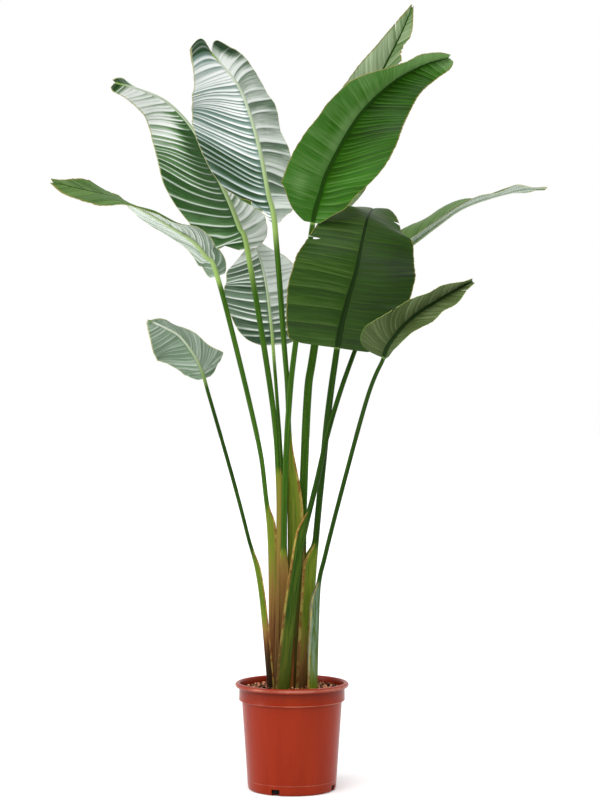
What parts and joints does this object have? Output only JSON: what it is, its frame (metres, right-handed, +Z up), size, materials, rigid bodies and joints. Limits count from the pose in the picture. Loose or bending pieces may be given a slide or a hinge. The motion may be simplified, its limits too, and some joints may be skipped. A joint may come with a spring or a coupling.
{
  "type": "potted bird of paradise plant",
  "caption": "A tall indoor plant with long-stalked, paddle-shaped pleated leaves fanning from clasping sheaths, standing in soil in a round plastic nursery pot with a rolled rim.",
  "frame": {"origin": "middle of the flat underside of the pot, where it stands on the floor", "axes": "+Z up along the pot's axis; the pictured front looks along -Y; +X to the viewer's right"},
  "size_m": [1.0504, 0.4233, 1.6793],
  "materials": {
    "leaf_green": "satin, pleated, mid to dark green upper face",
    "leaf_pale": "matte, pleated, grey-green waxy underside",
    "sheath_dry": "dry, fibrous, brown",
    "potting_soil": "matte, coarse crumbs and fibres",
    "pot_plastic": "satin, terracotta red"
  },
  "bodies": {
    "root": {"pot": "pot_plastic", "soil": "potting_soil", "dry_sheath": "sheath_dry", "leaf_tall_left": "leaf_pale", "leaf_upper_left": "leaf_pale", "leaf_far_left": "leaf_pale", "leaf_low_left": "leaf_pale", "leaf_back_centre": "leaf_pale", "leaf_upper_right": "leaf_green", "leaf_front": "leaf_green", "leaf_top_right": "leaf_green", "leaf_far_right": "leaf_green", "leaf_low_right": "leaf_green"}
  },
  "joints": []
}
